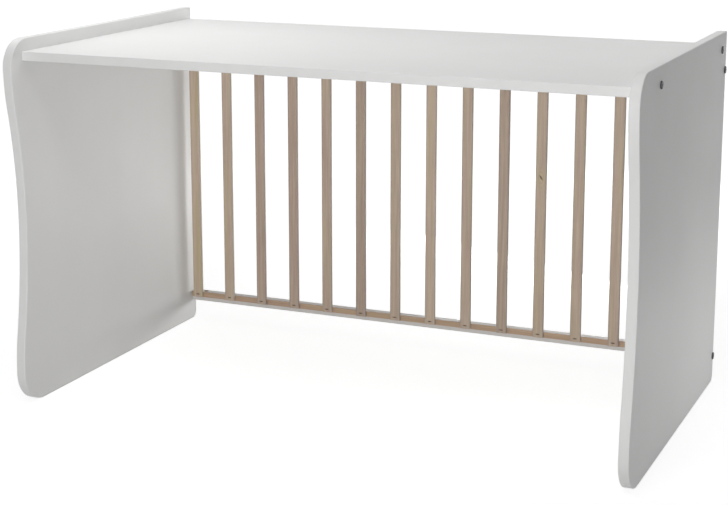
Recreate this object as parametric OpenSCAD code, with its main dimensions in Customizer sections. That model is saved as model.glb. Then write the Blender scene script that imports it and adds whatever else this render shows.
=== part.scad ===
// Convertible crib in its desk form: two end panels with a wavy front edge, a desk top
// between them, and one slatted side of the crib as the back. Cross bolts through the
// panels pull on barrel nuts in the boards, and wooden dowels locate the boards.
// Sizes are in millimetres. The origin is on the floor at the middle of the whole object,
// +X runs along the desk, the open front faces -Y and +Z is up.

/* [Overall] */
// Clear length between the end panels
inner_length = 1214; // [1100:1:1300]
// Depth of an end panel, from its back edge to its top bulge
panel_depth = 712; // [640:1:760]
// Height of an end panel
panel_height = 738; // [700:1:780]
// Thickness of an end panel
panel_t = 20; // [16:1:22]

/* [Panel outline] */
// Radius of the top front corner
top_corner_r = 55; // [30:1:70]
// Radius of the bottom front corner
foot_corner_r = 65; // [30:1:80]
// Radius of the top back corner
back_corner_r = 3; // [1:0.5:8]
// Radius of the bottom back corner
back_foot_r = 16; // [4:1:30]
// How far the waist lies behind the top bulge
waist_depth = 31; // [15:1:50]
// Height of the waist above the floor
waist_height = 375; // [330:1:420]
// How far the foot bulge lies behind the top bulge
foot_setback = 4; // [0:1:10]
// Radius of the top bulge
top_bulge_r = 415; // [300:5:500]
// Radius of the foot bulge
foot_bulge_r = 470; // [300:5:550]

/* [Desk top] */
// Thickness of the desk top
desk_t = 18; // [16:1:25]
// Drop of the desk's top face below the panels' top edges
desk_drop = 25; // [15:1:40]
// How far the desk's front edge lies behind the panels' top bulges
desk_front_setback = 38; // [20:1:60]
// How far the desk's back edge lies in front of the panels' back edges
desk_back_inset = 12; // [0:1:30]

/* [Slatted side] */
// Thickness of both rails, from front to back
rail_t = 18; // [16:1:22]
// Height of the top rail
top_rail_h = 60; // [50:1:80]
// Gap between the top rail and the desk's underside
top_rail_gap = 5; // [1:1:15]
// Height of the bottom rail
bottom_rail_h = 22; // [21:1:40]
// Clear height under the bottom rail
bottom_rail_z = 45; // [30:1:80]
// Thickness of the battens between the slats and the rails
batten_t = 4; // [3:0.5:6]
// Height of the battens
batten_h = 12; // [10:1:16]
// Number of slats
slat_count = 15; // [13:1:17]
// Width of a slat
slat_w = 24; // [18:1:28]
// Thickness of a slat
slat_t = 8; // [6:0.5:12]
// Radius of a slat's long edges
slat_edge_r = 1.6; // [0.5:0.1:2.5]
// Gap between an end panel and the first slat
slat_end_gap = 9; // [4:0.5:20]
// Gap between an end panel and the end of a batten
batten_end_gap = 1.5; // [0.5:0.5:4]
// How far a slat's end stops short of its batten's far edge
slat_end_inset = 1.5; // [0:0.5:3]

/* [Staples] */
// Width of a staple over its legs
staple_w = 6; // [5:0.5:8]
// Thickness of the staple wire
staple_wire = 1.2; // [0.8:0.1:1.4]
// How far a staple's legs enter the rail
staple_bite = 5; // [3:0.5:8]
// Distance of a staple from the batten's edge that is flush with the rail
staple_margin = 3.5; // [2.5:0.5:4]

/* [Bolts] */
// Diameter of a bolt's shank
bolt_d = 6; // [5:0.5:8]
// Play of a bolt in its bore, on the radius
bolt_play = 0.5; // [0.2:0.1:0.8]
// Diameter of a bolt's flat head
bolt_head_d = 15; // [12:0.5:18]
// Height of a bolt's head
bolt_head_h = 2.5; // [2:0.1:3.5]
// Chamfer round a bolt's head
bolt_head_chamfer = 1; // [0.4:0.1:1.5]
// Width of the hexagon socket, across its flats
socket_af = 4; // [3:0.5:5]
// Depth of the hexagon socket
socket_depth = 3; // [2:0.5:4]
// How far a bolt's tip passes its barrel nut
bolt_tip = 2; // [1:0.5:6]
// Distance of the front desk bolts from the desk's front edge
desk_bolt_front = 106; // [60:1:150]
// Distance of the rear desk bolts from the desk's back edge
desk_bolt_back = 32; // [20:1:80]

/* [Barrel nuts] */
// Diameter of a barrel nut
nut_d = 10; // [9:0.5:12]
// Length of a barrel nut
nut_length = 12; // [10:0.5:13]
// Distance of a barrel nut's axis from the end of its board
nut_inset = 33; // [24:1:40]
// Width of the screwdriver slot in a barrel nut
nut_slot_w = 1.4; // [1:0.1:2]
// Depth of the screwdriver slot in a barrel nut
nut_slot_depth = 1.2; // [0.6:0.1:1.5]

/* [Dowels] */
// Diameter of a dowel
dowel_d = 8; // [6:0.5:8]
// How far a dowel enters an end panel
dowel_in_panel = 11; // [8:0.5:12]
// How far a dowel enters a board
dowel_in_board = 19; // [14:0.5:24]
// Chamfer of a dowel's ends
dowel_chamfer = 0.8; // [0.3:0.1:1.5]
// Distance of a desk dowel from the desk bolt next to it
desk_dowel_offset = 60; // [30:1:100]
// Distance of a rail dowel from the rail bolt, up and down
rail_dowel_offset = 17; // [13:0.5:18]

/* [Fits] */
// Play of nuts, dowels and staples in their seats, on each side
fit_gap = 0.1; // [0.05:0.05:0.3]

/* [Hidden] */
$fn = 48;
// Segments of each arc of the panel's outline
arc_steps = 14;
// Segments of each rounded edge of a slat
slat_edge_steps = 3;
// Length by which a cutting tool passes a face
over = 1;

laminate_white = "#e9e9e6";
string_wood = "#a59480";
beech = "#d8bd92";
bronze_steel = "#55504c";
zinc_steel = "#b9bcbe";

inner_x = inner_length / 2;
front_y = -panel_depth / 2;
back_y = panel_depth / 2;

desk_top_z = panel_height - desk_drop;
desk_low_z = desk_top_z - desk_t;
desk_mid_z = desk_top_z - desk_t / 2;
desk_front_y = front_y + desk_front_setback;
desk_back_y = back_y - desk_back_inset;
desk_bolt_ys = [desk_front_y + desk_bolt_front, desk_back_y - desk_bolt_back];
desk_dowel_ys = [desk_bolt_ys[0] + desk_dowel_offset, desk_bolt_ys[1] - desk_dowel_offset];

rail_front_y = back_y - rail_t;
rail_mid_y = back_y - rail_t / 2;
batten_front_y = rail_front_y - batten_t;
slat_front_y = batten_front_y - slat_t;
top_rail_top_z = desk_low_z - top_rail_gap;
top_rail_z = top_rail_top_z - top_rail_h;
bottom_rail_top_z = bottom_rail_z + bottom_rail_h;
top_bolt_z = top_rail_z + top_rail_h / 2;
bottom_bolt_z = bottom_rail_z + bottom_rail_h / 2;
rail_bolt_zs = [bottom_bolt_z, top_bolt_z];
rail_dowel_zs = [top_bolt_z - rail_dowel_offset, top_bolt_z + rail_dowel_offset];

bottom_batten_z = bottom_rail_top_z - batten_h;
slat_low_z = bottom_batten_z + slat_end_inset;
slat_top_z = top_rail_z + batten_h - slat_end_inset;
slat_pitch = (inner_length - 2 * slat_end_gap - slat_w) / (slat_count - 1);
staple_zs = [bottom_rail_top_z - staple_margin, top_rail_z + staple_margin];
staple_leg = slat_t + batten_t + staple_bite;
bolt_reach = nut_inset + nut_d / 2 + bolt_tip;

function slat_x(i) = -inner_x + slat_end_gap + slat_w / 2 + (i - 1) * slat_pitch;
function slat_name(i) = str("slat_", i < 10 ? "0" : "", i);

// Points of an arc about a centre, from one angle to another, without its first point
function arc(centre, r, from, to, steps) = [
  for (i = [1 : steps])
    let (a = from + (to - from) * i / steps)
    [centre[0] + r * cos(a), centre[1] + r * sin(a)]
];

// Sum of the radii of two arcs that meet smoothly, one convex and one hollow, when their
// middles are rise apart in height and their crests run apart in depth
function radii_sum(rise, run) = (rise * rise + run * run) / (2 * run);

// The panel's outline in depth and height, from the back of its foot round the front
function panel_outline() =
  let (
    foot_y = front_y + foot_setback,
    waist_y = front_y + waist_depth,
    crest_z = panel_height - top_corner_r,
    low_rise = waist_height - foot_corner_r,
    high_rise = crest_z - waist_height,
    low_sum = radii_sum(low_rise, waist_depth - foot_setback),
    high_sum = radii_sum(high_rise, waist_depth),
    low_angle = asin(low_rise / low_sum),
    high_angle = asin(high_rise / high_sum),
    low_hollow_r = low_sum - foot_bulge_r,
    high_hollow_r = high_sum - top_bulge_r
  )
  concat(
    arc([back_y - back_foot_r, back_foot_r], back_foot_r, 0, -90, arc_steps),
    [[foot_y + foot_corner_r, 0]],
    arc([foot_y + foot_corner_r, foot_corner_r], foot_corner_r, 270, 180, arc_steps),
    arc([foot_y + foot_bulge_r, foot_corner_r], foot_bulge_r, 180, 180 - low_angle, arc_steps),
    arc([waist_y - low_hollow_r, waist_height], low_hollow_r, -low_angle, 0, arc_steps),
    arc([waist_y - high_hollow_r, waist_height], high_hollow_r, 0, high_angle, arc_steps),
    arc([front_y + top_bulge_r, crest_z], top_bulge_r, 180 + high_angle, 180, arc_steps),
    arc([front_y + top_corner_r, crest_z], top_corner_r, 180, 90, arc_steps),
    [[back_y - back_corner_r, panel_height]],
    arc([back_y - back_corner_r, panel_height - back_corner_r], back_corner_r, 90, 0, arc_steps)
  );

// A slat's section, a rectangle with rounded corners about the origin
function slat_section() =
  let (x = slat_w / 2 - slat_edge_r, y = slat_t / 2 - slat_edge_r)
  [
    for (c = [[x, y, 0], [-x, y, 90], [-x, -y, 180], [x, -y, 270]])
      for (i = [0 : slat_edge_steps])
        let (a = c[2] + 90 * i / slat_edge_steps)
        [c[0] + slat_edge_r * cos(a), c[1] + slat_edge_r * sin(a)]
  ];

// Draws its children at the right end and mirrored at the left end
module both_ends() {
  children();
  mirror([1, 0, 0]) children();
}

// Places on the inner face of the right panel, with the children's Z axis pointing outwards
module at_desk_bolts() {
  for (y = desk_bolt_ys) translate([inner_x, y, desk_mid_z]) rotate([0, 90, 0]) children();
}

module at_rail_bolts() {
  for (z = rail_bolt_zs) translate([inner_x, rail_mid_y, z]) rotate([0, 90, 0]) children();
}

module at_desk_dowels() {
  for (y = desk_dowel_ys) translate([inner_x, y, desk_mid_z]) rotate([0, 90, 0]) children();
}

module at_rail_dowels() {
  for (z = rail_dowel_zs) translate([inner_x, rail_mid_y, z]) rotate([0, 90, 0]) children();
}

module bolt_bore() {
  translate([0, 0, -bolt_reach - over])
    cylinder(r = bolt_d / 2 + bolt_play, h = bolt_reach + panel_t + 2 * over);
}

module dowel_bore() {
  translate([0, 0, -dowel_in_board - fit_gap])
    cylinder(r = dowel_d / 2 + fit_gap, h = dowel_in_board + dowel_in_panel + 2 * fit_gap);
}

// Bore for a barrel nut at the origin, open towards -Z at the given depth below the origin
module nut_bore(depth) {
  translate([0, 0, -depth - over])
    cylinder(r = nut_d / 2 + fit_gap, h = depth + over + nut_length / 2 + fit_gap);
}

// Places at the right end's barrel nuts. The children's -Z axis points out of the bore: down
// under the desk, to the back at the top rail and up at the bottom rail.
module at_desk_nuts() {
  for (y = desk_bolt_ys) translate([inner_x - nut_inset, y, desk_mid_z]) children();
}

module at_top_rail_nut() {
  translate([inner_x - nut_inset, rail_mid_y, top_bolt_z]) rotate([90, 0, 0]) children();
}

module at_bottom_rail_nut() {
  translate([inner_x - nut_inset, rail_mid_y, bottom_bolt_z]) rotate([180, 0, 0]) children();
}

// A staple with its crown at the origin and its legs along +Y, grown by play on each side
module staple(play = 0) {
  crown_y = play > 0 ? -over : 0;
  translate([-staple_w / 2 - play, crown_y, -staple_wire / 2 - play])
    cube([staple_w + 2 * play, staple_wire + play - crown_y, staple_wire + 2 * play]);
  for (x = [-staple_w / 2, staple_w / 2 - staple_wire])
    translate([x - play, crown_y, -staple_wire / 2 - play])
      cube([staple_wire + 2 * play, staple_leg + play - crown_y, staple_wire + 2 * play]);
}

module staples_at(i, play = 0) {
  for (z = staple_zs) translate([slat_x(i), slat_front_y, z]) staple(play);
}

module all_staples(play = 0) {
  for (i = [1 : slat_count]) staples_at(i, play);
}

module end_panel() {
  color(laminate_white)
    difference() {
      translate([inner_x, 0, 0]) rotate([90, 0, 90]) linear_extrude(panel_t) polygon(panel_outline());
      at_desk_bolts() bolt_bore();
      at_rail_bolts() bolt_bore();
      at_desk_dowels() dowel_bore();
      at_rail_dowels() dowel_bore();
    }
}

module left_end_panel() {
  mirror([1, 0, 0]) end_panel();
}

module right_end_panel() {
  end_panel();
}

module desk_top() {
  color(laminate_white)
    difference() {
      translate([-inner_x, desk_front_y, desk_low_z])
        cube([inner_length, desk_back_y - desk_front_y, desk_t]);
      both_ends() {
        at_desk_bolts() bolt_bore();
        at_desk_dowels() dowel_bore();
        at_desk_nuts() nut_bore(desk_t / 2);
      }
    }
}

module rail(z, height) {
  color(laminate_white)
    difference() {
      translate([-inner_x, rail_front_y, z]) cube([inner_length, rail_t, height]);
      both_ends() {
        at_rail_bolts() bolt_bore();
        at_rail_dowels() dowel_bore();
        at_top_rail_nut() nut_bore(rail_t / 2);
        at_bottom_rail_nut() nut_bore(bottom_rail_h / 2);
      }
      all_staples(fit_gap);
    }
}

module top_rail() {
  rail(top_rail_z, top_rail_h);
}

module bottom_rail() {
  rail(bottom_rail_z, bottom_rail_h);
}

module batten(z) {
  color(string_wood)
    difference() {
      translate([-inner_x + batten_end_gap, batten_front_y, z])
        cube([inner_length - 2 * batten_end_gap, batten_t, batten_h]);
      all_staples(fit_gap);
    }
}

module top_slat_batten() {
  batten(top_rail_z);
}

module bottom_slat_batten() {
  batten(bottom_batten_z);
}

module slat(i) {
  color(string_wood)
    difference() {
      translate([slat_x(i), slat_front_y + slat_t / 2, slat_low_z])
        linear_extrude(slat_top_z - slat_low_z) polygon(slat_section());
      staples_at(i, fit_gap);
    }
}

module slat_staples() {
  color(zinc_steel) all_staples();
}

// A connector bolt with its head outside the panel and its shank towards -Z
module bolt() {
  head_r = bolt_head_d / 2;
  rim_h = bolt_head_h - bolt_head_chamfer;
  color(bronze_steel)
    difference() {
      union() {
        translate([0, 0, -bolt_reach]) cylinder(d = bolt_d, h = bolt_reach + panel_t + rim_h);
        translate([0, 0, panel_t])
          rotate_extrude()
            polygon([
              [0, 0], [head_r, 0], [head_r, rim_h], [head_r - bolt_head_chamfer, bolt_head_h], [0, bolt_head_h]
            ]);
      }
      translate([0, 0, panel_t + bolt_head_h - socket_depth])
        cylinder(d = socket_af / cos(30), h = socket_depth + over, $fn = 6);
    }
}

module desk_bolts() {
  both_ends() at_desk_bolts() bolt();
}

module rail_bolts() {
  both_ends() at_rail_bolts() bolt();
}

// A barrel nut along Z with its bolt hole along X and its slot towards -Z
module barrel_nut() {
  color(zinc_steel)
    difference() {
      cylinder(d = nut_d, h = nut_length, center = true);
      rotate([0, 90, 0]) cylinder(r = bolt_d / 2 + fit_gap, h = nut_d + 2 * over, center = true);
      translate([-nut_d / 2 - over, -nut_slot_w / 2, -nut_length / 2 - over])
        cube([nut_d + 2 * over, nut_slot_w, nut_slot_depth + over]);
    }
}

module desk_barrel_nuts() {
  both_ends() at_desk_nuts() barrel_nut();
}

module rail_barrel_nuts() {
  both_ends() {
    at_top_rail_nut() barrel_nut();
    at_bottom_rail_nut() barrel_nut();
  }
}

// A dowel across the joint between a panel and a board
module dowel() {
  r = dowel_d / 2;
  length = dowel_in_board + dowel_in_panel;
  color(beech)
    translate([0, 0, -dowel_in_board])
      rotate_extrude()
        polygon([
          [0, 0], [r - dowel_chamfer, 0], [r, dowel_chamfer], [r, length - dowel_chamfer],
          [r - dowel_chamfer, length], [0, length]
        ]);
}

module desk_dowels() {
  both_ends() at_desk_dowels() dowel();
}

module rail_dowels() {
  both_ends() at_rail_dowels() dowel();
}

left_end_panel();
right_end_panel();
desk_top();
top_rail();
bottom_rail();
top_slat_batten();
bottom_slat_batten();
for (i = [1 : slat_count]) slat(i);
slat_staples();
desk_bolts();
rail_bolts();
desk_barrel_nuts();
rail_barrel_nuts();
desk_dowels();
rail_dowels();
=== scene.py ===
"""Looks of a convertible crib in its desk form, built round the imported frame.

Two end panels with a wavy front edge carry a desk board, and one slatted side of the crib
closes the back. Every new piece is a surface worked out with numpy in the frame's own
metres: origin on the floor at the object's middle, +X along the desk, the open front to -Y.
"""

import logging
import math
from collections.abc import Iterator, Mapping, Sequence
from dataclasses import dataclass, field
from enum import Enum
from typing import Any

import bpy
import numpy as np
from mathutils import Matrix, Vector
from mathutils.geometry import tessellate_polygon


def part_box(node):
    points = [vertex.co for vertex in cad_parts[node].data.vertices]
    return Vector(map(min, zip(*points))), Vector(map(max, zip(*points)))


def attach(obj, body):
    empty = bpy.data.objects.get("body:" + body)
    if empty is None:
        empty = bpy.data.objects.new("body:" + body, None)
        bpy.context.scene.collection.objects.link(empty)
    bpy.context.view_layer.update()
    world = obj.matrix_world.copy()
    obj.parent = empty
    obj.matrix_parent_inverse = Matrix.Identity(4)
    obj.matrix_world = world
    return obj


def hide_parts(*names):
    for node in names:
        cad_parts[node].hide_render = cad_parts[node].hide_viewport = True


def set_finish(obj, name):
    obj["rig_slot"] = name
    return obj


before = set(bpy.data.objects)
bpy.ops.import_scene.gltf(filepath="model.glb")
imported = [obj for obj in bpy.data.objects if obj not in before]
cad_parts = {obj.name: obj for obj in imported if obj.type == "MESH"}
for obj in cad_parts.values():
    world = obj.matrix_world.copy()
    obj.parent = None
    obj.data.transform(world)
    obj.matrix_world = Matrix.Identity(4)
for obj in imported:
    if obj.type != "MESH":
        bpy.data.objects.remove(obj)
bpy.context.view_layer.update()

Array = np.ndarray
Socket = bpy.types.NodeSocket
Pair = tuple[float, float]
Point = tuple[float, float, float]
Colour = tuple[float, float, float, float]

BODY = "root"
SAME_POINT = 1e-7
NUT_RADIUS = 0.005
BORE_PLAY = 0.0001
WHITE = (1.0, 1.0, 1.0, 1.0)
log = logging.getLogger("desk_form")


class Plane(Enum):
    """The frame axes that a piece's outline (a, b) and its thickness (c) lie along."""

    XY = (0, 1, 2)
    YZ = (1, 2, 0)
    ZX = (2, 0, 1)

    def to_frame(self, values: Array) -> Array:
        """Move the columns a, b and c of an array to the frame axes they lie along.

        Args:
            values: An array with a row for each point.

        Returns:
            The same rows as x, y and z.
        """
        placed = np.empty_like(values)
        placed[:, list(self.value)] = values
        return placed


class Face(Enum):
    """The face of a board that a bore opens on."""

    LOW = -1
    HIGH = 1


class Grain(Enum):
    """The frame axis that a piece of wood's grain, or a metal's brushing, runs along."""

    X = 0
    Z = 2

    @property
    def across(self) -> Point:
        """The direction in a front face that crosses the grain."""
        return (0.0, 0.0, 1.0) if self is Grain.X else (1.0, 0.0, 0.0)

    def stretch(self, share: float) -> Point:
        """Scale that leaves the given share along the grain."""
        return tuple(share if axis == self.value else 1.0 for axis in range(3))


class Tone(Enum):
    """A slat's stain: its share of rosy wood, its share of olive wood and its lightness."""

    OLIVE = (0.3, 0.95, 1.0)
    TAN = (0.35, 0.55, 0.9)
    SAND = (0.45, 0.55, 0.55)
    ROSE = (0.8, 0.15, 0.3)
    UMBER = (0.55, 0.4, 0.05)


@dataclass(frozen=True)
class Extent:
    """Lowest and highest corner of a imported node."""

    low: Vector
    high: Vector

    @classmethod
    def of(cls, node: str) -> "Extent":
        """Read a node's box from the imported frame."""
        return cls(*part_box(node))

    @property
    def middle(self) -> Vector:
        """Middle of the box."""
        return (self.low + self.high) / 2


def full_turn(sides: int) -> Array:
    """Evenly spaced angles round a full circle."""
    return np.linspace(0, 2 * math.pi, sides, endpoint=False)


def rays(angles: Array) -> Array:
    """The direction of each angle, as its cosine and its sine."""
    return np.stack([np.cos(angles), np.sin(angles)], axis=-1)


def easing(radius: float, steps: int) -> tuple[Array, Array, Array]:
    """A quarter circle that eases an edge, from the face round to the side.

    At angle t it is drawn in by radius * (1 - sin t) and lies radius * (1 - cos t) from
    the face.

    Args:
        radius: Radius of the quarter circle.
        steps: Number of chords.

    Returns:
        The angles, how far each place is drawn in, and how far each lies from the face.
    """
    angle = np.linspace(0, math.pi / 2, steps + 1)
    draw, rise = radius * (1 - np.sin(angle)), radius * (1 - np.cos(angle))
    return angle, draw, rise


def with_level(flat: Array, level: Array) -> Array:
    """Give each ring of flat points or normals its own value in a third column."""
    return np.concatenate([flat, np.broadcast_to(level[:, None, None], flat[..., :1].shape)], -1)


@dataclass(frozen=True)
class Outline:
    """A closed outline that runs anticlockwise in its plane, with outward normals."""

    points: Array
    normals: Array

    @classmethod
    def arc(cls, centre: Pair, radius: float, start: float, end: float, steps: int,
            hollow: bool = False) -> "Outline":
        """An arc: the centre plus the radius times (cosine, sine) of each angle.

        Args:
            centre: Centre of the arc.
            radius: Radius of the arc.
            start: First angle, in degrees.
            end: Last angle, in degrees.
            steps: Number of chords.
            hollow: True where the piece lies outside the arc, so normals point to the centre.

        Returns:
            The arc with both of its ends.
        """
        angles = np.radians(np.linspace(start, end, steps + 1))
        out = rays(angles)
        return cls(np.array(centre) + radius * out, -out if hollow else out)

    @classmethod
    def straight(cls, start: Pair, end: Pair, normal: Pair, steps: int) -> "Outline":
        """A straight stretch: the start times one less a share, plus the end times the share.

        Args:
            start: First point.
            end: Last point.
            normal: Outward normal.
            steps: Number of equal steps.

        Returns:
            The stretch with both of its ends.
        """
        share = np.linspace(0, 1, steps + 1)[:, None]
        points = (1 - share) * np.array(start) + share * np.array(end)
        return cls(points, np.tile(np.array(normal, float), (steps + 1, 1)))

    @classmethod
    def joined(cls, *parts: "Outline") -> "Outline":
        """Join stretches end to end, drop doubled points and run anticlockwise.

        The direction comes from the sign of the shoelace sum of the points.

        Args:
            parts: The stretches, in order round the outline.

        Returns:
            The closed outline.
        """
        points = np.concatenate([part.points for part in parts])
        normals = np.concatenate([part.normals for part in parts])
        apart = np.linalg.norm(points - np.roll(points, 1, axis=0), axis=1) > SAME_POINT
        points, normals = points[apart], normals[apart]
        following = np.roll(points, -1, axis=0)
        turn = np.sum(points[:, 0] * following[:, 1] - points[:, 1] * following[:, 0])
        if turn < 0:
            points, normals = points[::-1], normals[::-1]
        return cls(points, normals)

    @classmethod
    def rounded_rectangle(cls, low: Pair, high: Pair, radius: float, steps: int = 4,
                          low_side_steps: int = 1) -> "Outline":
        """A rectangle whose corners are quarter circles.

        Args:
            low: Its lowest corner.
            high: Its highest corner.
            radius: Radius of the corners.
            steps: Chords of each corner.
            low_side_steps: Stretches along the side at the lowest b.

        Returns:
            The closed outline.
        """
        left, right = low[0] + radius, high[0] - radius
        bottom, top = low[1] + radius, high[1] - radius
        return cls.joined(
            cls.arc((right, top), radius, 0, 90, steps),
            cls.arc((left, top), radius, 90, 180, steps),
            cls.arc((left, bottom), radius, 180, 270, steps),
            cls.straight((left, low[1]), (right, low[1]), (0, -1), low_side_steps),
            cls.arc((right, bottom), radius, 270, 360, steps),
        )


@dataclass(frozen=True)
class Bore:
    """A round hole in a face of a board.

    Its mouth is eased by a quarter circle, and a bore with no depth goes right through.
    """

    centre: Pair
    radius: float
    face: Face
    depth: float | None = None
    ease: float = 0.0003
    sides: int = 32
    ease_steps: int = 3


def smooth_mesh(name: str, points: Array, faces: Sequence[Sequence[int]]) -> bpy.types.Mesh:
    """Make a mesh whose faces are all shaded smooth.

    Args:
        name: The mesh's name.
        points: Its points.
        faces: The indices of each face's corners.

    Returns:
        The mesh.
    """
    mesh = bpy.data.meshes.new(name)
    mesh.from_pydata(points.tolist(), [], faces)
    mesh.polygons.foreach_set("use_smooth", np.ones(len(mesh.polygons), bool))
    return mesh


def write_shares(mesh: bpy.types.Mesh, name: str, shares: Array) -> None:
    """Write a share for each vertex as an attribute that a material reads."""
    layer = mesh.attributes.new(name, "FLOAT", "POINT")
    layer.data.foreach_set("value", np.asarray(shares, np.float32))


def stain_mesh(mesh: bpy.types.Mesh, tone: Tone) -> None:
    """Write a tone's three shares to a mesh."""
    for name, value in zip(("rosy", "olive", "light"), tone.value):
        write_shares(mesh, name, np.full(len(mesh.vertices), value))


class Shell:
    """Collects the rings, caps and poles of closed surfaces, in the axes (a, b, c)."""

    def __init__(self) -> None:
        """Start an empty surface."""
        self.points = np.empty((0, 3))
        self.normals = np.empty((0, 3))
        self.faces: list[list[int]] = []
        self.raw: list[Array] = []

    def add_points(self, points: Array, normals: Array) -> Array:
        """Append points with their normals.

        Args:
            points: Points, in any layout of rows of 3.
            normals: Their normals in the same layout.

        Returns:
            The indices in the layout of the points.
        """
        first = len(self.points)
        self.points = np.concatenate([self.points, points.reshape(-1, 3)])
        self.normals = np.concatenate([self.normals, normals.reshape(-1, 3)])
        return np.arange(first, len(self.points)).reshape(points.shape[:-1])

    def add_rings(self, points: Array, normals: Array, turned: bool = False) -> Array:
        """Add closed rings and join each to the next with quads.

        A quad joins points j and j + 1 of one ring to the same two of the next ring, so it
        faces along the ring's direction crossed with the direction from ring to ring.

        Args:
            points: Points, an array of rings by points by 3.
            normals: Surface normals in the same layout.
            turned: True to face the other way.

        Returns:
            The indices, rings by points.
        """
        index = self.add_points(points, normals)
        here, there = index[:-1], index[1:]
        corners = [here, np.roll(here, -1, axis=1), np.roll(there, -1, axis=1), there]
        quads = np.stack(corners[::-1] if turned else corners, axis=-1).reshape(-1, 4)
        self.faces += quads.tolist()
        return index

    def add_pole(self, ring: Array, centre: Array, normal: Array, turned: bool = False) -> None:
        """Close a ring with triangles to one point at its centre.

        Args:
            ring: Indices of the ring.
            centre: Place of the pole.
            normal: Normal at the pole.
            turned: True where the fan faces against the ring's own direction.
        """
        pole = int(self.add_points(centre[None], normal[None])[0])
        fan = np.stack([ring, np.roll(ring, -1), np.full_like(ring, pole)], axis=1)
        self.faces += (fan[:, ::-1] if turned else fan).tolist()

    def add_cap(self, loops: Sequence[Array], side: Face) -> None:
        """Fill a flat face between its outer loop and the loops of its holes.

        A triangle whose signed area has the wrong sign for the side is turned over.

        Args:
            loops: Indices of each loop, the outer one first.
            side: Which way the cap faces along c.
        """
        index = np.concatenate(loops)
        found = tessellate_polygon([[Vector(p) for p in self.points[loop]] for loop in loops])
        triangles = index[np.array(found)]
        one, two, three = (self.points[triangles[:, k], :2] for k in range(3))
        edge, other = two - one, three - one
        area = edge[:, 0] * other[:, 1] - edge[:, 1] * other[:, 0]
        wrong = area * side.value < 0
        triangles[wrong] = triangles[wrong][:, ::-1]
        self.faces += triangles.tolist()

    def to_mesh(self, name: str, plane: Plane = Plane.XY) -> bpy.types.Mesh:
        """Make the Blender mesh, with this shell's own normals for smooth shading.

        The attribute raw is 1 where a bore shows the bare core of the board.

        Args:
            name: The mesh's name.
            plane: The frame axes that the shell's own axes lie along.

        Returns:
            The mesh, in the frame's place.
        """
        mesh = smooth_mesh(name, plane.to_frame(self.points), self.faces)
        length = np.linalg.norm(self.normals, axis=1, keepdims=True)
        mesh.normals_split_custom_set_from_vertices(plane.to_frame(self.normals / length).tolist())
        if self.raw:
            share = np.zeros(len(self.points))
            share[np.concatenate(self.raw)] = 1.0
            write_shares(mesh, "raw", share)
        mesh.update()
        return mesh


@dataclass(frozen=True)
class Board:
    """A flat piece: an outline with a thickness, eased arrises and bores in its faces."""

    outline: Outline
    low: float
    high: float
    arris: float
    arris_steps: int = 6
    levels: Sequence[float] = ()
    bores: Sequence[Bore] = ()

    def shell(self) -> Shell:
        """Work out the closed surface.

        The rings climb from the low face to the high one. Round an arris, the outline is
        drawn in along its normals as the easing says, and at the easing's angle t the
        normal is the outline's times sin t plus the face's times cos t.

        Returns:
            The surface in the axes (a, b, c).
        """
        angle, draw, rise = easing(self.arris, self.arris_steps)
        straight = np.zeros(len(self.levels))
        inset = np.concatenate([draw, straight, draw[::-1]])
        height = np.concatenate([self.low + rise, np.array(self.levels, float), self.high - rise[::-1]])
        tilt = np.concatenate([-np.cos(angle), straight, np.cos(angle[::-1])])
        lean = np.sqrt(1 - tilt**2)
        points = with_level(self.outline.points - inset[:, None, None] * self.outline.normals, height)
        normals = with_level(lean[:, None, None] * self.outline.normals, tilt)
        shell = Shell()
        rings = shell.add_rings(points, normals)
        loops = {Face.LOW: [rings[0]], Face.HIGH: [rings[-1]]}
        for bore in self.bores:
            first, last = self.drill(shell, bore)
            loops[bore.face].append(first)
            if bore.depth is None:
                other = Face.LOW if bore.face is Face.HIGH else Face.HIGH
                loops[other].append(last)
        for face, found in loops.items():
            shell.add_cap(found, face)
        return shell

    def drill(self, shell: Shell, bore: Bore) -> tuple[Array, Array]:
        """Add a bore's wall, and its bottom where it is blind.

        The mouth widens by what the easing draws in. At the far end a through bore widens
        the same way, and a blind one closes by as much towards its bottom.

        Args:
            shell: The board's surface.
            bore: The bore.

        Returns:
            Indices of the first and the last ring of the wall.
        """
        angle, draw, sink = easing(bore.ease, bore.ease_steps)
        through = bore.depth is None
        depth = self.high - self.low if through else bore.depth
        close = -1 if through else 1
        radius = bore.radius + np.concatenate([draw, -close * draw[::-1]])
        down = np.concatenate([sink, depth - sink[::-1]])
        facing = np.concatenate([np.cos(angle), close * np.cos(angle[::-1])])
        start = self.high if bore.face is Face.HIGH else self.low
        out = rays(full_turn(bore.sides))
        wall = np.array(bore.centre) + radius[:, None, None] * out
        points = with_level(wall, start - bore.face.value * down)
        normals = with_level(-np.sqrt(1 - facing**2)[:, None, None] * out, bore.face.value * facing)
        turned = bore.face is Face.LOW
        rings = shell.add_rings(points, normals, turned)
        shell.raw.append(rings[1:-1].ravel() if through else rings[1:].ravel())
        if not through:
            bottom = np.array([*bore.centre, start - bore.face.value * depth])
            shell.add_pole(rings[-1], bottom, np.array([0, 0, bore.face.value], float), turned)
        return rings[0], rings[-1]


@dataclass(frozen=True)
class Figure:
    """A smooth noise in a finish.

    Its scale is in waves a metre, its levels are the values that become 0 and 1, and along
    is the share of the scale that is left along the grain.
    """

    scale: float
    detail: float
    levels: Pair = (0.0, 1.0)
    roughness: float = 0.5
    distortion: float = 0.0
    along: float = 1.0


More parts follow.
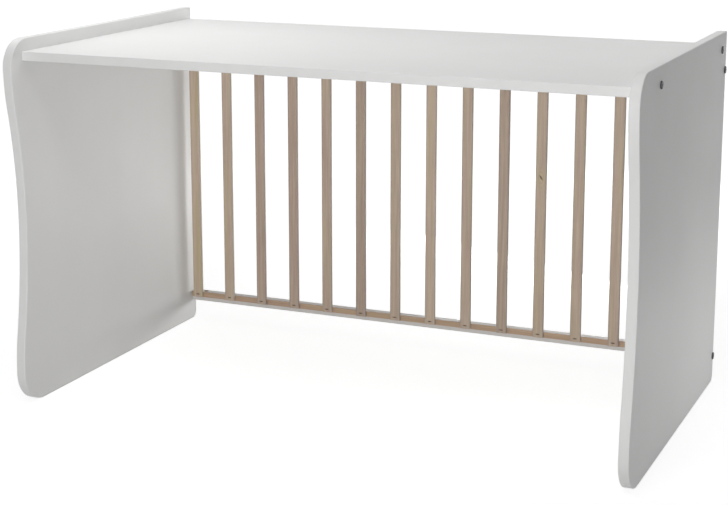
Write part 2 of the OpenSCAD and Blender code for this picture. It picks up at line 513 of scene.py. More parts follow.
class NodeWeb:
    """Builds the node tree of one material or world."""

    def __init__(self, tree: bpy.types.NodeTree) -> None:
        """Take a tree and empty it."""
        self.tree = tree
        tree.nodes.clear()

    def add(self, kind: str, inputs: Mapping[str | int, Any] | None = None,
            **settings: Any) -> bpy.types.Node:
        """Add a node.

        Args:
            kind: The node's type.
            inputs: What goes into its sockets, each another node's socket or a plain value.
            settings: The node's own settings.

        Returns:
            The node.
        """
        node = self.tree.nodes.new(kind)
        for name, value in settings.items():
            setattr(node, name, value)
        for key, value in (inputs or {}).items():
            if isinstance(value, Socket):
                self.tree.links.new(value, node.inputs[key])
            else:
                node.inputs[key].default_value = value
        return node

    def calc(self, operation: str, *values: Socket | float) -> Socket:
        """One arithmetic step on its values."""
        return self.add("ShaderNodeMath", dict(enumerate(values)), operation=operation).outputs[0]

    def weighed(self, start: float, *terms: tuple[Socket, float]) -> Socket:
        """A number plus each term's value times its weight.

        Args:
            start: The number.
            terms: The value and the weight of each term.

        Returns:
            The sum.
        """
        total = start
        for value, weight in terms:
            total = self.calc("MULTIPLY_ADD", value, weight, total)
        return total

    def vector(self, operation: str, *values: Socket | Point) -> Socket:
        """One step on places or directions."""
        return self.add("ShaderNodeVectorMath", dict(enumerate(values)), operation=operation).outputs[0]

    def length(self, place: Socket) -> Socket:
        """A place's distance from the origin."""
        return self.add("ShaderNodeVectorMath", {0: place}, operation="LENGTH").outputs["Value"]

    def spread(self, value: Socket, levels: Pair, ends: Pair = (0.0, 1.0)) -> Socket:
        """Map a value from its levels to the ends, clamped."""
        inputs = dict(zip(("Value", "From Min", "From Max", "To Min", "To Max"), (value, *levels, *ends)))
        return self.add("ShaderNodeMapRange", inputs).outputs["Result"]

    def noise(self, place: Socket, figure: Figure, grain: Grain = Grain.X) -> Socket:
        """A figure's noise, from 0 to 1, drawn out along the grain.

        Args:
            place: Where the noise is read.
            figure: The figure.
            grain: The way it is drawn out.

        Returns:
            The noise.
        """
        inputs = {
            "Vector": self.scaled(place, grain.stretch(figure.along)), "Scale": figure.scale,
            "Detail": figure.detail, "Roughness": figure.roughness, "Distortion": figure.distortion,
        }
        return self.add("ShaderNodeTexNoise", inputs).outputs["Fac"]

    def figured(self, place: Socket, figure: Figure, grain: Grain = Grain.X,
                ends: Pair = (0.0, 1.0)) -> Socket:
        """A figure's noise with its levels mapped to the ends."""
        return self.spread(self.noise(place, figure, grain), figure.levels, ends)

    def blend(self, share: Socket | float, first: Socket | Colour, second: Socket | Colour,
              mode: str = "MIX") -> Socket:
        """Mix two colours by a share, which is held between 0 and 1."""
        inputs = {0: share, 6: first, 7: second}
        return self.add("ShaderNodeMix", inputs, data_type="RGBA", blend_type=mode).outputs[2]

    def bump(self, height: Socket, strength: float, distance: float) -> Socket:
        """A bumped normal from a height, with the distance in metres."""
        inputs = {"Height": height, "Strength": strength, "Distance": distance}
        return self.add("ShaderNodeBump", inputs).outputs["Normal"]

    def grey(self, value: Socket) -> Socket:
        """A grey colour from a value."""
        return self.add("ShaderNodeCombineColor", {0: value, 1: value, 2: value}).outputs[0]

    def place(self) -> Socket:
        """The object coordinates, which are the frame's own metres."""
        return self.add("ShaderNodeTexCoord").outputs["Object"]

    def attribute(self, name: str) -> Socket:
        """A share that was written to the mesh."""
        return self.add("ShaderNodeAttribute", attribute_name=name).outputs["Fac"]

    def scaled(self, place: Socket, scale: Point) -> Socket:
        """A place stretched along each axis."""
        return self.add("ShaderNodeMapping", {"Vector": place, "Scale": scale}).outputs["Vector"]

    def finish(self, inputs: Mapping[str, Any]) -> None:
        """End a material's tree in a principled surface."""
        surface = self.add("ShaderNodeBsdfPrincipled", inputs)
        self.add("ShaderNodeOutputMaterial", {"Surface": surface.outputs[0]})


def new_web(name: str) -> tuple[bpy.types.Material, NodeWeb]:
    """Make an empty node material.

    Args:
        name: The material's name.

    Returns:
        The material and the web that fills it.
    """
    material = bpy.data.materials.new(name)
    material.use_nodes = True
    return material, NodeWeb(material.node_tree)


def linear(red: int, green: int, blue: int) -> Colour:
    """The linear colour of a display colour.

    A value up to 0.04045 is divided by 12.92. A higher one plus 0.055 is divided by 1.055
    and raised to 2.4.

    Args:
        red: Red, from 0 to 255.
        green: Green, from 0 to 255.
        blue: Blue, from 0 to 255.

    Returns:
        The colour, opaque.
    """
    values = np.array([red, green, blue]) / 255
    curved = ((values + 0.055) / 1.055) ** 2.4
    return (*(float(v) for v in np.where(values > 0.04045, curved, values / 12.92)), 1.0)


@dataclass(frozen=True)
class WhiteLaminate:
    """Satin white foil on the panels, the desk and the rails.

    The foil has a faint orange peel, and its gloss wanders a little. Where the attribute
    raw says so, inside the bores, the chipboard core shows. A panel's lowest edge, which
    stands on the floor, is darkened by painted shade.
    """

    name: str
    colour: Colour = linear(232, 232, 231)
    shade: Colour = linear(230, 230, 229)
    clouds: Figure = Figure(5.0, 3.0, (0.35, 0.65))
    peel: Figure = Figure(700.0, 1.0)
    peel_strength: float = 0.4
    peel_depth: float = 0.00003
    sheen: Figure = Figure(9.0, 4.0, (0.3, 0.7))
    satin: Pair = (0.47, 0.51)
    core: Colour = linear(166, 136, 102)
    chip: Colour = linear(112, 86, 60)
    chips: Figure = Figure(900.0, 2.0, (0.4, 0.6))
    core_rough: float = 0.85
    foot_shade: Colour = linear(104, 104, 103)
    foot_shade_heights: Pair = (0.0008, 0.0026)
    foot_shade_share: float = 0.9

    def material(self) -> bpy.types.Material:
        """Build the node material.

        Returns:
            The finish.
        """
        material, web = new_web(self.name)
        place = web.place()
        raw = web.attribute("raw")
        foil = web.blend(web.figured(place, self.clouds), self.colour, self.shade)
        height = web.add("ShaderNodeSeparateXYZ", {0: place}).outputs["Z"]
        # painted shade: the foil darkens towards the floor along a panel's lowest edge, where a contact
        # shadow falls
        scuff = web.spread(height, self.foot_shade_heights, (self.foot_shade_share, 0.0))
        foil = web.blend(scuff, foil, self.foot_shade)
        bare = web.blend(web.figured(place, self.chips), self.core, self.chip)
        satin = web.figured(place, self.sheen, ends=self.satin)
        web.finish({
            "Base Color": web.blend(raw, foil, bare),
            "Roughness": web.calc("MAXIMUM", satin, web.calc("MULTIPLY", raw, self.core_rough)),
            "Normal": web.bump(web.noise(place, self.peel), self.peel_strength, self.peel_depth),
        })
        return material


@dataclass(frozen=True)
class StringWood:
    """Stained solid wood with fine straight grain, for the slats and the battens.

    A slat's attributes rosy, olive and light say how its own stain leans, an edge share
    paints shade on its eased edges, and dent marks a staple's dent, painted darker as shade.
    """

    name: str
    grain: Grain
    sand: Colour = linear(211, 192, 173)
    rosy: Colour = linear(214, 180, 166)
    olive: Colour = linear(203, 187, 149)
    umber: Colour = linear(171, 151, 136)
    sway: Figure = Figure(9.0, 1.0, along=0.35)
    sway_reach: float = 0.006
    streaks: Figure = Figure(190.0, 2.0, (0.36, 0.64), along=0.03)
    olive_streaks: Figure = Figure(120.0, 1.0, (0.38, 0.62), distortion=0.3, along=0.03)
    lines: Figure = Figure(900.0, 3.0, (0.3, 0.7), roughness=0.6, along=0.02)
    pores: Figure = Figure(1500.0, 1.0, (0.66, 0.76), along=0.05)
    umber_start: float = 0.42
    umber_by_light: float = -0.6
    umber_by_line: float = 0.36
    umber_by_streak: float = 0.34
    umber_by_pore: float = 0.3
    edge_shade_tint: Colour = (0.86, 0.93, 1.0, 1.0)
    dent_shade: Colour = linear(112, 92, 72)
    dent_shade_share: float = 0.7
    matt: Pair = (0.5, 0.62)
    relief_strength: float = 0.35
    relief_depth: float = 0.00012
    knot_place: Point = (0.2516, 0.326, 0.411)
    knot_shape: Point = (1.0, 0.4, 0.42)
    knot_reach: float = 0.017
    knot_push: float = 0.012
    halo_share: float = 0.8
    ring: Colour = linear(124, 102, 80)
    ring_pace: float = 1500.0
    ring_share: float = 0.35
    heart: Colour = linear(84, 64, 50)
    heart_lean: float = 0.6
    heart_shape: Point = (1.0, 0.4, 0.30)
    heart_edge: Pair = (0.0008, 0.0026)
    heart_share: float = 0.85

    def stain(self, web: NodeWeb, streak: Socket, olive_streak: Socket, line: Socket,
              pore: Socket) -> Socket:
        """Mix the stain of a piece, without its knot and dents.

        The rosy and the olive share each follow their streaks. The umber share starts from
        a number, falls with the tone's lightness and rises with the lines and the streaks.

        Args:
            web: The material's web.
            streak: The rosy streaks.
            olive_streak: The olive streaks.
            line: The fine grain lines.
            pore: The pores.

        Returns:
            The colour.
        """
        rosy, olive, light, edge_shade = (web.attribute(name) for name in ("rosy", "olive", "light", "edge_shade"))
        umber = web.weighed(self.umber_start, (light, self.umber_by_light), (line, self.umber_by_line),
                            (streak, self.umber_by_streak))
        colour = web.blend(web.calc("MULTIPLY", rosy, streak), self.sand, self.rosy)
        colour = web.blend(web.calc("MULTIPLY", olive, olive_streak), colour, self.olive)
        colour = web.blend(umber, colour, self.umber)
        colour = web.blend(web.calc("MULTIPLY", pore, self.umber_by_pore), colour, self.umber)
        # painted shade: the slat's edges are darkened and greyed by the edge share
        return web.blend(edge_shade, colour, self.edge_shade_tint, "MULTIPLY")

    def knot(self, web: NodeWeb, colour: Socket, offset: Socket, reach: Socket,
             swirl: Socket) -> Socket:
        """Lay the knot over the stain: a tan halo, weak rings and a leaning dark heart.

        The rings follow the sine of the reach, and fade with the swirl.

        Args:
            web: The material's web.
            colour: The stain.
            offset: The place, seen from the middle of the knot.
            reach: How far the place lies from the knot, in the knot's own shape.
            swirl: The knot's pull on the grain there, 1 at its middle.

        Returns:
            The colour.
        """
        colour = web.blend(web.calc("MULTIPLY", swirl, self.halo_share), colour, self.olive)
        ripple = web.calc("SINE", web.calc("MULTIPLY", reach, self.ring_pace))
        ripple = web.calc("MULTIPLY", web.calc("MULTIPLY", ripple, swirl), self.ring_share)
        colour = web.blend(ripple, colour, self.ring)
        turned = web.add("ShaderNodeMapping", {"Vector": offset, "Rotation": (0.0, self.heart_lean, 0.0)})
        depth = web.length(web.scaled(turned.outputs["Vector"], self.heart_shape))
        return web.blend(web.spread(depth, self.heart_edge, (self.heart_share, 0.0)), colour, self.heart)

    def material(self) -> bpy.types.Material:
        """Build the node material.

        The grain is read at a place that is pushed across the grain, by a slow sway and by
        the knot, whose pull is the square of a share that falls from 1 to 0 at its reach.

        Returns:
            The finish.
        """
        material, web = new_web(self.name)
        place = web.place()
        offset = web.vector("SUBTRACT", place, self.knot_place)
        reach = web.length(web.scaled(offset, self.knot_shape))
        swirl = web.spread(reach, (0.0, self.knot_reach), (1.0, 0.0))
        swirl = web.calc("MULTIPLY", swirl, swirl)
        sway = web.noise(place, self.sway, self.grain)
        push = web.weighed(0.0, (sway, self.sway_reach), (swirl, self.knot_push))
        bent = web.vector("MULTIPLY_ADD", self.grain.across, push, place)
        streak, olive_streak, line, pore = (
            web.figured(bent, figure, self.grain)
            for figure in (self.streaks, self.olive_streaks, self.lines, self.pores)
        )
        colour = self.stain(web, streak, olive_streak, line, pore)
        colour = self.knot(web, colour, offset, reach, swirl)
        # painted shade in the staple dents: the dent share darkens the stain there
        dent = web.calc("MULTIPLY", web.attribute("dent"), self.dent_shade_share)
        relief = web.weighed(0.0, (line, 1.0), (streak, 1.0), (pore, -1.0))
        web.finish({
            "Base Color": web.blend(dent, colour, self.dent_shade),
            "Roughness": web.spread(line, (0.0, 1.0), self.matt),
            "Normal": web.bump(relief, self.relief_strength, self.relief_depth),
        })
        return material


@dataclass(frozen=True)
class BeechWood:
    """Plain turned beech of the dowels, with short dark flecks along the grain."""

    name: str
    pale: Colour = linear(222, 195, 152)
    fleck: Colour = linear(186, 150, 106)
    lines: Figure = Figure(700.0, 3.0, (0.35, 0.65), along=0.08)
    line_share: float = 0.35
    flecks: Figure = Figure(1900.0, 1.0, (0.6, 0.72), along=0.08)
    fleck_share: float = 0.7
    matt: float = 0.55
    relief_strength: float = 0.3
    relief_depth: float = 0.0001

    def material(self) -> bpy.types.Material:
        """Build the node material.

        Returns:
            The finish.
        """
        material, web = new_web(self.name)
        place = web.place()
        line = web.figured(place, self.lines)
        fleck = web.figured(place, self.flecks, ends=(0.0, self.fleck_share))
        stain = web.blend(web.calc("MULTIPLY", line, self.line_share), self.pale, self.fleck)
        web.finish({
            "Base Color": web.blend(fleck, stain, self.fleck),
            "Roughness": self.matt,
            "Normal": web.bump(line, self.relief_strength, self.relief_depth),
        })
        return material


@dataclass(frozen=True)
class PlatedSteel:
    """Plated steel of the fasteners, a little uneven in colour and gloss."""

    name: str
    colour: Colour
    patch: Colour
    gloss: Pair
    patches: Figure = Figure(500.0, 3.0, (0.35, 0.65))
    scuffs: Figure = Figure(2400.0, 2.0, (0.3, 0.7), along=0.2)
    relief_strength: float = 0.2
    relief_depth: float = 0.00002

    def material(self) -> bpy.types.Material:
        """Build the node material.

        Returns:
            The finish.
        """
        material, web = new_web(self.name)
        place = web.place()
        scuff = web.noise(place, self.scuffs, Grain.Z)
        web.finish({
            "Base Color": web.blend(web.figured(place, self.patches), self.colour, self.patch),
            "Metallic": 1.0,
            "Roughness": web.spread(scuff, self.scuffs.levels, self.gloss),
            "Normal": web.bump(scuff, self.relief_strength, self.relief_depth),
        })
        return material


def make_piece(name: str, mesh: bpy.types.Mesh, finish: bpy.types.Material, slot: str,
               *nodes: str) -> bpy.types.Object:
    """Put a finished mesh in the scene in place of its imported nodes.

    Args:
        name: The piece's name.
        mesh: Its mesh, already in the frame's place.
        finish: Its finish.
        slot: The record's material slot.
        nodes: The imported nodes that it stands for.

    Returns:
        The new object.
    """
    piece = bpy.data.objects.new(name, mesh)
    bpy.context.scene.collection.objects.link(piece)
    mesh.materials.append(finish)
    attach(piece, BODY)
    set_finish(piece, slot)
    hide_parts(*nodes)
    return piece


def carry_node(node: str, finish: bpy.types.Material, slot: str) -> bpy.types.Object:
    """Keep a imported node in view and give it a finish.

    Args:
        node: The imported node.
        finish: Its finish.
        slot: The record's material slot.

    Returns:
        The node's own object.
    """
    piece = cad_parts[node]
    piece.data.materials.clear()
    piece.data.materials.append(finish)
    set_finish(piece, slot)
    return piece


def bolt_places() -> list[Pair]:
    """Read the four bolt axes of one end from the frame.

    Returns:
        Depth and height of each axis, the desk's two first.
    """
    desk, rail = Extent.of("desk_bolts"), Extent.of("rail_bolts")
    radius = (desk.high.z - desk.low.z) / 2
    return [
        (desk.low.y + radius, desk.middle.z), (desk.high.y - radius, desk.middle.z),
        (rail.middle.y, rail.low.z + radius), (rail.middle.y, rail.high.z - radius),
    ]


def dowel_places(dowels: Extent) -> tuple[float, list[Pair]]:
    """Read a pair of dowels from the frame.

    The pair lies apart along one axis, so its extent along the other is the diameter.

    Args:
        dowels: Box of the pairs at both ends.

    Returns:
        A dowel's radius, and the depth and height of each axis of the pair.
    """
    low, high = dowels.low, dowels.high
    radius = min(high.y - low.y, high.z - low.z) / 2
    return radius, [(low.y + radius, low.z + radius), (high.y - radius, high.z - radius)]


@dataclass
class EndPanels:
    """The two end panels, mirror images, whose front edge swells, draws in and swells."""

    left: Extent = field(default_factory=lambda: Extent.of("left_end_panel"))
    right: Extent = field(default_factory=lambda: Extent.of("right_end_panel"))
    top_corner: float = 0.055
    foot_corner: float = 0.065
    back_corner: float = 0.003
    back_corner_steps: int = 6
    back_foot: float = 0.016
    back_foot_steps: int = 12
    waist_depth: float = 0.031
    waist_height: float = 0.375
    foot_setback: float = 0.004
    top_bulge: float = 0.415
    foot_bulge: float = 0.470
    arc_steps: int = 28
    arris: float = 0.0022
    bolt_bore: float = 0.0035

    @staticmethod
    def radii_sum(rise: float, run: float) -> float:
        """Sum of the radii of two arcs that meet smoothly, from how far their crests lie apart."""
        return (rise**2 + run**2) / (2 * run)

    def outline(self) -> Outline:
        """The panel's outline in depth and height, from the back of its foot round the front.

        A bulge and the waist's hollow are arcs that meet smoothly, so each turns through
        the angle whose sine is the rise between their crests over the sum of their radii.

        Returns:
            The closed outline.
        """
        front, back, top = self.right.low.y, self.right.high.y, self.right.high.z
        foot_y, waist_y = front + self.foot_setback, front + self.waist_depth
        crest, waist = top - self.top_corner, self.waist_height
        low_rise, high_rise = waist - self.foot_corner, crest - waist
        low_sum = self.radii_sum(low_rise, self.waist_depth - self.foot_setback)
        high_sum = self.radii_sum(high_rise, self.waist_depth)
        low_turn = math.degrees(math.asin(low_rise / low_sum))
        high_turn = math.degrees(math.asin(high_rise / high_sum))
        low_hollow, high_hollow = low_sum - self.foot_bulge, high_sum - self.top_bulge
        corner, foot, steps = self.back_corner, self.back_foot, self.arc_steps
        return Outline.joined(
            Outline.arc((back - foot, foot), foot, 0, -90, self.back_foot_steps),
            Outline.arc((foot_y + self.foot_corner, self.foot_corner), self.foot_corner, 270, 180, steps),
            Outline.arc((foot_y + self.foot_bulge, self.foot_corner), self.foot_bulge,
                        180, 180 - low_turn, steps),
            Outline.arc((waist_y - low_hollow, waist), low_hollow, -low_turn, 0, steps, hollow=True),
            Outline.arc((waist_y - high_hollow, waist), high_hollow, 0, high_turn, steps, hollow=True),
            Outline.arc((front + self.top_bulge, crest), self.top_bulge, 180 + high_turn, 180, steps),
            Outline.arc((front + self.top_corner, crest), self.top_corner, 180, 90, steps),
            Outline.arc((back - corner, top - corner), corner, 90, 0, self.back_corner_steps),
        )

    def bores(self, inner: Face) -> Iterator[Bore]:
        """Bolt bores right through, and blind dowel bores from the inner face.

        Args:
            inner: The panel's inner face.

        Yields:
            Each bore.
        """
        for place in bolt_places():
            yield Bore(place, self.bolt_bore, inner)
        for dowels in (Extent.of("desk_dowels"), Extent.of("rail_dowels")):
            depth = dowels.high.x - self.right.low.x + BORE_PLAY
            radius, places = dowel_places(dowels)
            for place in places:
                yield Bore(place, radius + BORE_PLAY, inner, depth)

    def build(self, foil: bpy.types.Material) -> Iterator[bpy.types.Object]:
        """Build both panels.

        Args:
            foil: Their finish.

        Yields:
            Each panel.
        """
        for name, extent, inner in (
            ("left_end_panel", self.left, Face.HIGH), ("right_end_panel", self.right, Face.LOW),
        ):
            board = Board(self.outline(), extent.low.x, extent.high.x, self.arris,
                          bores=tuple(self.bores(inner)))
            mesh = board.shell().to_mesh(name, Plane.YZ)
            yield make_piece(f"{name}_board", mesh, foil, "panel_laminate", name)


@dataclass
class DeskTop:
    """The desk board, with the barrel nuts' bores in its underside."""

    extent: Extent = field(default_factory=lambda: Extent.of("desk_top"))
    nuts: Extent = field(default_factory=lambda: Extent.of("desk_barrel_nuts"))
    corner: float = 0.0012
    arris: float = 0.0011
    arris_steps: int = 4

    def bores(self) -> Iterator[Bore]:
        """The four blind bores of the barrel nuts.

        Yields:
            Each bore.
        """
        depth = self.nuts.high.z - self.extent.low.z + BORE_PLAY
        reach = self.nuts.high.x - NUT_RADIUS
        for x in (-reach, reach):
            for (y, _) in bolt_places()[:2]:
                yield Bore((x, y), NUT_RADIUS + BORE_PLAY, Face.LOW, depth)

    def build(self, foil: bpy.types.Material) -> Iterator[bpy.types.Object]:
        """Build the board.

        Args:
            foil: Its finish.

        Yields:
            The board.
        """
        low, high = self.extent.low, self.extent.high
        outline = Outline.rounded_rectangle(low.xy, high.xy, self.corner)
        board = Board(outline, low.z, high.z, self.arris, self.arris_steps, bores=tuple(self.bores()))
        mesh = board.shell().to_mesh("desk_top")
        yield make_piece("desk_top_board", mesh, foil, "desk_laminate", "desk_top")


@dataclass
class SlattedSide:
    """One side of the crib: two rails, two battens, the slats and their staples."""

    tones: Sequence[Tone] = (
        Tone.OLIVE, Tone.TAN, Tone.ROSE, Tone.ROSE, Tone.SAND, Tone.UMBER, Tone.SAND, Tone.TAN,
        Tone.SAND, Tone.UMBER, Tone.SAND, Tone.SAND, Tone.SAND, Tone.ROSE, Tone.OLIVE,
    )
    rail_corner: float = 0.0015
    rail_arris: float = 0.0013
    rail_arris_steps: int = 4
    batten_corner: float = 0.0006
    batten_arris: float = 0.0005
    batten_arris_steps: int = 3
    slat_edge: float = 0.0030
    slat_edge_steps: int = 6
    slat_front_steps: int = 24
    slat_rows: int = 24
    slat_arris: float = 0.0006
    slat_arris_steps: int = 3
    edge_shade_width: float = 0.0050
    front_facing: float = -0.9
    dent_depth: float = 0.0008
    dent_half_height: float = 0.0016
    dent_reach: float = 3.0
    dent_clearance: float = 3.5
    dent_rows: int = 12
    staple_half_width: float = 0.003
    staple_wire: float = 0.0006
    staple_sides: int = 10
    staple_bend: float = 0.0011
    staple_bend_steps: int = 5

    def rail(self, node: str, plane: Plane, foil: bpy.types.Material) -> bpy.types.Object:
        """Build a rail whose nut bores open on the high face of the plane's thickness.

        Args:
            node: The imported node.
            plane: The plane of the face that the bores open on.
            foil: Its finish.

        Returns:
            The rail.
        """
        extent, nuts = Extent.of(node), Extent.of("rail_barrel_nuts")
        low, high = extent.low, extent.high
        a, b, c = plane.value
        outline = Outline.rounded_rectangle((low[a], low[b]), (high[a], high[b]), self.rail_corner)
        depth = high[c] - nuts.low[c] + BORE_PLAY
        reach = nuts.high.x - NUT_RADIUS
        places = [
            Vector((x, y, z)) for (y, z) in bolt_places()[2:] if low.z < z < high.z for x in (-reach, reach)
        ]
        bores = tuple(Bore((at[a], at[b]), NUT_RADIUS + BORE_PLAY, Face.HIGH, depth) for at in places)
        board = Board(outline, low[c], high[c], self.rail_arris, self.rail_arris_steps, bores=bores)
        mesh = board.shell().to_mesh(node, plane)
        return make_piece(f"{node}_board", mesh, foil, "rail_laminate", node)

    def batten(self, node: str, wood: bpy.types.Material) -> bpy.types.Object:
        """Build a batten, the thin strip between the slats and a rail.

        Args:
            node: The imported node.
            wood: Its finish.

        Returns:
            The batten.
        """
        extent = Extent.of(node)
        low, high = extent.low, extent.high
        outline = Outline.rounded_rectangle((low.z, low.x), (high.z, high.x), self.batten_corner)
        board = Board(outline, low.y, high.y, self.batten_arris, self.batten_arris_steps)
        mesh = board.shell().to_mesh(node, Plane.ZX)
        stain_mesh(mesh, Tone.SAND)
        return make_piece(f"{node}_strip", mesh, wood, "batten_wood", node)

    def staple_heights(self) -> Pair:
        """Heights of the lower and the upper row of staples."""
        staples = Extent.of("slat_staples")
        return staples.low.z + self.staple_wire, staples.high.z - self.staple_wire

    def slat_levels(self, low: float, high: float) -> list[float]:
        """Heights of a slat's rings: even ones, and close ones over each dent.

        Args:
            low: Height of the slat's lower end.
            high: Height of its upper end.

        Returns:
            The heights between the arrises.
        """
        near = np.linspace(-self.dent_reach, self.dent_reach, self.dent_rows) * self.dent_half_height
        plain = np.linspace(low, high, self.slat_rows)[1:-1]
        heights = self.staple_heights()
        apart = self.dent_clearance * self.dent_half_height
        clear = np.all([abs(plain - z) > apart for z in heights], axis=0)
        levels = np.sort(np.concatenate([plain[clear], *(z + near for z in heights)]))
        inside = (levels > low + 2 * self.slat_arris) & (levels < high - 2 * self.slat_arris)
        return levels[inside].tolist()

    def press_dents(self, shell: Shell, off_middle: Array) -> Array:
        """Press a slat's front face in round each staple.

        A dent's depth falls off as a bell curve in height. In width it is even up to the
        staple's ends and then falls off in the same way. The normals tilt by the slope of
        the bell curve.

        Args:
            shell: The slat's surface.
            off_middle: How far each point lies from the slat's middle line.

        Returns:
            Each point's share of the full depth.
        """
        beyond = np.maximum(off_middle - self.staple_half_width, 0)
        facing = shell.normals[:, 1] < self.front_facing
        front = facing * np.exp(-((beyond / self.dent_half_height) ** 2))
        dent = np.zeros(len(shell.points))
        for z in self.staple_heights():
            away = (shell.points[:, 2] - z) / self.dent_half_height
            bell = front * np.exp(-(away**2))
            dent += bell
            shell.points[:, 1] += self.dent_depth * bell
            shell.normals[:, 2] -= self.dent_depth * bell * 2 * away / self.dent_half_height
        return dent

    def slat(self, number: int, wood: bpy.types.Material) -> bpy.types.Object:
        """Build a slat, with the dents of its staples and painted shade on its edges.

        Args:
            number: The slat's number from the left, from 1.
            wood: Its finish.

        Returns:
            The slat.
        """
        node = f"slat_{number:02d}"
        extent = Extent.of(node)
        low, high, middle = extent.low, extent.high, extent.middle
        outline = Outline.rounded_rectangle(low.xy, high.xy, self.slat_edge, self.slat_edge_steps,
                                            self.slat_front_steps)
        board = Board(outline, low.z, high.z, self.slat_arris, self.slat_arris_steps,
                      levels=self.slat_levels(low.z, high.z))
        shell = board.shell()
        off_middle = abs(shell.points[:, 0] - middle.x)
        # painted shade share: 1 at a slat's side edges, falling to 0 over the edge width
        edge_shade = np.clip(1 - (high.x - middle.x - off_middle) / self.edge_shade_width, 0, 1)
        dent = self.press_dents(shell, off_middle)
        mesh = shell.to_mesh(node)
        stain_mesh(mesh, self.tones[number - 1])
        write_shares(mesh, "edge_shade", edge_shade)
        write_shares(mesh, "dent", dent)
        return make_piece(f"{node}_wood", mesh, wood, "slat_wood", node)

    def staples(self, steel: bpy.types.Material) -> bpy.types.Object:
        """Build every staple as one piece.

        A staple is a round wire along a path in a level plane: a leg, a quarter circle,
        the crown, a quarter circle and the other leg. Each path point carries a circle of
        the wire's radius across the path.

        Args:
            steel: Their finish.

        Returns:
            The staples.
        """
        extent, wire = Extent.of("slat_staples"), self.staple_wire
        half, crown, leg_end = self.staple_half_width - wire, extent.low.y + wire, extent.high.y
        _, draw, rise = easing(self.staple_bend, self.staple_bend_steps)
        left = np.stack([rise - half, crown + draw], axis=1)
        right = left[::-1] * (-1, 1)
        path = np.concatenate([[(-half, leg_end)], left, right, [(half, leg_end)]])
        along = np.gradient(path, axis=0)
        along /= np.linalg.norm(along, axis=1, keepdims=True)
        across = np.stack([along[:, 1], -along[:, 0]], axis=1)
        around = full_turn(self.staple_sides)
        side = across[:, None] * np.cos(around)[:, None]
        up = np.broadcast_to(np.sin(around)[:, None], side[..., :1].shape)
        normals = np.concatenate([side, up], axis=-1)
        tube = np.concatenate([path, np.zeros((len(path), 1))], axis=1)[:, None] + wire * normals
        shell = Shell()
        for number in range(1, len(self.tones) + 1):
            x = Extent.of(f"slat_{number:02d}").middle.x
            for z in self.staple_heights():
                rings = shell.add_rings(tube + (x, 0, z), normals, turned=True)
                for end, turned in ((0, False), (-1, True)):
                    tip = np.array([path[end, 0] + x, path[end, 1], z])
                    shell.add_pole(rings[end], tip, np.array([0.0, 1.0, 0.0]), turned)
        return make_piece("slat_staples_wire", shell.to_mesh("slat_staples"), steel, "staple_steel",
                          "slat_staples")

    def build(self, foil: bpy.types.Material, slat_wood: bpy.types.Material,
              batten_wood: bpy.types.Material, steel: bpy.types.Material) -> Iterator[bpy.types.Object]:
        """Build the rails, the battens, the slats and the staples.

        Args:
            foil: The rails' finish.
            slat_wood: The slats' finish.
            batten_wood: The battens' finish.
            steel: The staples' finish.

        Yields:
            Each piece.
        """
        for node, plane in (("top_rail", Plane.ZX), ("bottom_rail", Plane.XY)):
            yield self.rail(node, plane, foil)
        for node in ("top_slat_batten", "bottom_slat_batten"):
            yield self.batten(node, batten_wood)
        for number in range(1, len(self.tones) + 1):
            yield self.slat(number, slat_wood)
        yield self.staples(steel)


